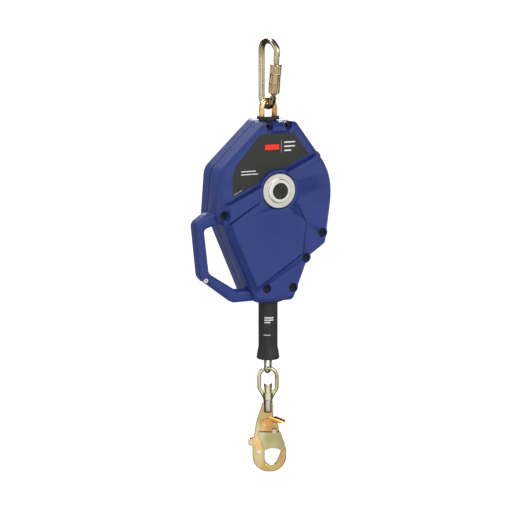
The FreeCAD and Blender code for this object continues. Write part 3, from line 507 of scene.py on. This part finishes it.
def knurled_cap():
    """The hub's cap, whose face is knurled between its middle and its rim.

    The face sinks by 0.42 (2 - cos(24a + 2.2r) - cos(24a - 2.2r)) / 4.
    """
    face, around = 44.55, 288
    profile = dense([(0, face), (12.3, face)], 0.18)
    profile += [(12.9, 44.1), (12.9, 39.3), (8.2, 39.3), (8.2, 43.7), (0, 43.7)]

    def knurl(angle, radius, height):
        wave = (2 - np.cos(24 * angle + 2.2 * radius) - np.cos(24 * angle - 2.2 * radius)) / 4
        sunk = (height > face - 0.05) & (radius > 0.1)
        return 0.0, np.where(sunk, -0.42 * wave * plateau(radius, 1.5, 3.0, 11.2, 11.9), 0.0)

    points = lathe(profile, (0, 0, HUB_Z / MM), (0, -1, 0), around, knurl)
    faces = quads(len(profile), around)
    piece("knurled_cap", points, faces, knurled, "housing", "hub_cap")


STRAND_RING, STRAND_RADIUS, LAY = 1.55, 0.84, 19.0


def strands(line, side):
    """Six strands laid round a seventh.

    line is the rope's middle, side its sideways direction at each point. A strand's middle is
    line + STRAND_RING (side cos p + other sin p), with p growing by a turn each LAY, and
    each strand is a round tube about its middle.
    """
    run = np.gradient(line, axis=0)
    run /= np.linalg.norm(run, axis=1)[:, None]
    other = np.cross(run, side)
    length = np.concatenate([[0], np.cumsum(np.linalg.norm(np.diff(line, axis=0), axis=1))])
    angle = np.linspace(0, 2 * np.pi, 10, endpoint=False)
    count, around = len(line), len(angle)
    points, faces = [], []
    for number in range(7):
        turn = 2 * np.pi * (number / 6 + length / LAY)
        away = 0.0 if number == 6 else STRAND_RING
        middle = line + away * (side * np.cos(turn)[:, None] + other * np.sin(turn)[:, None])
        spokes = (side[:, None, :] * np.cos(angle)[None, :, None]
                  + other[:, None, :] * np.sin(angle)[None, :, None])
        tube = middle[:, None, :] + STRAND_RADIUS * spokes
        ends = [middle[at, None, None, :].repeat(around, 1) for at in (0, -1)]
        tube = np.concatenate([ends[0], tube, ends[1]])
        faces.append(quads(count + 2, around) + number * (count + 2) * around)
        points.append(tube)
    points = np.concatenate([tube.reshape(-1, 3) for tube in points]) * MM
    return points, np.concatenate([tube.reshape(-1, 4) for tube in faces])


def loop_line():
    """The eye of the cable: two legs that spread as they go down, and a half circle under them."""
    top, foot, narrow, wide = -462.0, -521.5, 2.7, 8.5
    parting, parted = -486.5, -506.5
    rise = np.linspace(top, foot, 90)
    spread = narrow + (wide - narrow) * (1 - soft_step(rise, parted, parting))
    arc = np.linspace(0, np.pi, 50)[1:-1]
    x = np.concatenate([spread, wide * np.cos(arc), -spread[::-1]])
    z = np.concatenate([rise, foot - wide * np.sin(arc), rise[::-1]])
    yaw = math.radians(34)
    line = np.stack([x * math.cos(yaw), x * math.sin(yaw), z], axis=1)
    side = np.tile([-math.sin(yaw), math.cos(yaw), 0.0], (len(line), 1))
    return line, side


def cable_eye():
    """The swaged eye, as laid strands on its line."""
    points, faces = strands(*loop_line())
    piece("cable_eye", points, faces, galvanised, "lifeline_end", "cable_loop")


def lifeline_cable():
    """The straight cable under the nozzle, at rest length: the real one lengthens as the line pays
    out.
    """
    top, low = (corner[2] / MM for corner in reversed(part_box("outer_cable")))
    height = np.linspace(top, low, 60)
    line = np.stack([height * 0, height * 0, height], axis=1)
    points, faces = strands(line, np.tile([1.0, 0.0, 0.0], (len(line), 1)))
    made = piece("lifeline_cable", points, faces, galvanised, None, "outer_cable")
    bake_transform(made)


def merged_copy(node, name):
    """A new object with the node's own shape, its loose triangles joined."""
    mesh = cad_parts[node].data.copy()
    stitched(mesh, join=1e-6, outward=False)
    return added(name, mesh)


def settle(made, finish, body, node, sharp):
    """Applies the object's modifiers and puts it in the node's place."""
    evaluated = made.evaluated_get(bpy.context.evaluated_depsgraph_get())
    shaped = bpy.data.meshes.new_from_object(evaluated)
    made.modifiers.clear()
    made.data = shaped
    coated(shaped, finish, sharp)
    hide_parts(node)
    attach(made, body)


def eased(node, name, finish, body, slot, grain, rounds):
    """The node's own shape on an even grid of points, grain apart.

    Each round moves every point half way to its neighbours' middle, so the sharp edges turn
    round and the flat faces stay.
    """
    made = merged_copy(node, name)
    even = made.modifiers.new("even", "REMESH")
    even.mode, even.voxel_size = "VOXEL", grain * MM
    soften = made.modifiers.new("soften", "SMOOTH")
    soften.factor, soften.iterations = 0.5, rounds
    settle(made, finish, body, node, 60)


def notch(x, up, half, front, back, top):
    """A closed cutter along Y: a half circle of radius half under (x, up), open upwards to top."""
    angle = np.linspace(np.pi, 2 * np.pi, 33)
    across = np.concatenate([x + half * np.cos(angle), [x + half, x - half]])
    rise = np.concatenate([up + half * np.sin(angle), [top, top]])
    count = len(across)
    ends = [np.stack([across, np.full(count, y), rise], axis=1) for y in (front, back)]
    ring = [(i, (i + 1) % count, count + (i + 1) % count, count + i) for i in range(count)]
    mesh = bpy.data.meshes.new("notch")
    mesh.from_pydata((np.concatenate(ends) * MM).tolist(), [],
                     ring + [tuple(range(count))[::-1], tuple(range(count, 2 * count))])
    stitched(mesh)
    return added("notch", mesh)


# The top bolts' places across the shell, and the notches' size, in mm.
TOP_BOLT_X = (-12, 20)
NOTCH_UP = HUB_Z / MM + 101
NOTCH_HALF, NOTCH_FRONT, NOTCH_BACK, NOTCH_RISE = 6.4, -45, -31, 11


def opened_shell():
    """The front shell, with its two top bolt slots run out through the front as round notches."""
    made = merged_copy("front_housing", "front_shell")
    cutters = [notch(x, NOTCH_UP, NOTCH_HALF, NOTCH_FRONT, NOTCH_BACK, NOTCH_UP + NOTCH_RISE)
               for x in TOP_BOLT_X]
    for cutter in cutters:
        cut = made.modifiers.new("cut", "BOOLEAN")
        cut.operation, cut.solver, cut.object = "DIFFERENCE", "EXACT", cutter
    settle(made, blue, "housing", "front_housing", 14)
    for cutter in cutters:
        bpy.data.objects.remove(cutter)


# Node, name, finish, body, slot, grain in mm and rounds of each softened piece.
EASED = (
    ("hook_body", "forged_hook", forged, "snap_hook", "hook_zinc", 0.6, 8),
    ("hook_gate", "pressed_gate", olive_plate, "hook_gate", "gate_zinc", 0.4, 4),
    ("lock_lever", "pressed_lever", copper, "lock_lever", "lever_zinc", 0.36, 3),
    ("release_latch", "pressed_latch", copper, "release_latch", "lever_zinc", 0.36, 3),
)

opened_shell()
fluted_sleeve()
knurled_cap()
cable_eye()
lifeline_cable()
for row in EASED:
    eased(*row)


# ---- studio and camera --------------------------------------------------------------------

def studio_floor():
    """Glowing white paper far below the object, kept out of its reflections."""
    mesh = bpy.data.meshes.new("studio_floor")
    half, level = 400.0, -11.0
    corners = [(x * half, y * half, level) for x, y in ((-1, -1), (1, -1), (1, 1), (-1, 1))]
    mesh.from_pydata(corners, [], [(0, 1, 2, 3)])
    paper = Finish("studio_paper", Roughness=0.9, Specular_IOR_Level=0.1, Emission_Color=(1, 1, 1),
                   Emission_Strength=0.8)
    paper.put(Base_Color=paper.mix(paper.noise(0.4), (0.93, 0.93, 0.93), (0.95, 0.95, 0.95)))
    mesh.materials.append(paper.material)
    floor = added("studio_floor", mesh)
    floor.visible_glossy = False


MIDDLE = (0, 0, -0.33)


def soft_box(name, place, width, height, power):
    """A white rectangle of light, turned to the object's middle."""
    data = bpy.data.lights.new(name, "AREA")
    data.shape = "RECTANGLE"
    data.size, data.size_y = width, height
    data.energy = power
    lamp = added(name, data)
    lamp.location = place
    lamp.rotation_euler = (Vector(MIDDLE) - Vector(place)).to_track_quat("-Z", "Y").to_euler()


def lights():
    """Each light's place, width, height and power."""
    soft_box("key", (0.5, -2.6, 0.9), 1.2, 1.2, 40)
    soft_box("fill", (2.4, -1.2, 0.0), 0.8, 1.8, 14)
    soft_box("top", (-0.9, 0.9, 1.7), 1.5, 1.0, 42)
    soft_box("left_edge", (-2.4, 0.9, 0.0), 0.5, 1.8, 10)
    soft_box("back", (0.9, 2.6, 0.7), 1.2, 1.2, 40)


# The brightest way to look, and the world's grey from behind it (0) to along it (1).
BRIGHT_WAY = (-0.21, -0.45, 0.03)
AIR_STOPS = ((0.02, 0.45), (0.15, 0.38), (0.3, 0.05), (0.6, 0.05), (0.7, 0.2), (0.8, 0.72),
             (0.92, 1.0))


def surroundings():
    """White air that is bright in front, dim at the sides and half as bright behind."""
    world = bpy.data.worlds.new("studio_air")
    world.use_nodes = True
    bpy.context.scene.world = world
    graph = Graph(world.node_tree)
    direction = graph.node("TexCoord", output="Generated")
    towards = graph.node("VectorMath", {"operation": "DOT_PRODUCT"}, {
        0: direction, 1: BRIGHT_WAY}, output="Value")
    stops = [(at, (grey, grey, grey)) for at, grey in AIR_STOPS]
    shade = graph.node("ValToRGB", {"stops": stops}, {0: towards + 0.5})
    air = graph.tree.nodes["Background"]
    graph.feed(air.inputs["Strength"], 1.2)
    graph.feed(air.inputs["Color"], shade)
    bpy.context.scene.view_settings.view_transform = "Standard"


VIEW_AZIMUTH, VIEW_ELEVATION = math.radians(-25), math.radians(11)
VIEW_TARGET = Vector((-0.0029, 0.0014, -0.356))
VIEW_DISTANCE, VIEW_WIDTH = 4.0, 0.851


def camera():
    """A long lens that sees VIEW_WIDTH metres across at the target."""
    data = bpy.data.cameras.new("camera")
    data.sensor_width = 36
    data.lens = data.sensor_width * VIEW_DISTANCE / VIEW_WIDTH
    made = added("camera", data)
    level = math.cos(VIEW_ELEVATION)
    back = Vector((math.sin(VIEW_AZIMUTH) * level, -math.cos(VIEW_AZIMUTH) * level,
                   math.sin(VIEW_ELEVATION)))
    made.location = VIEW_TARGET + back * VIEW_DISTANCE
    made.rotation_euler = (-back).to_track_quat("-Z", "Y").to_euler()
    bpy.context.scene.camera = made


studio_floor()
lights()
surroundings()
camera()
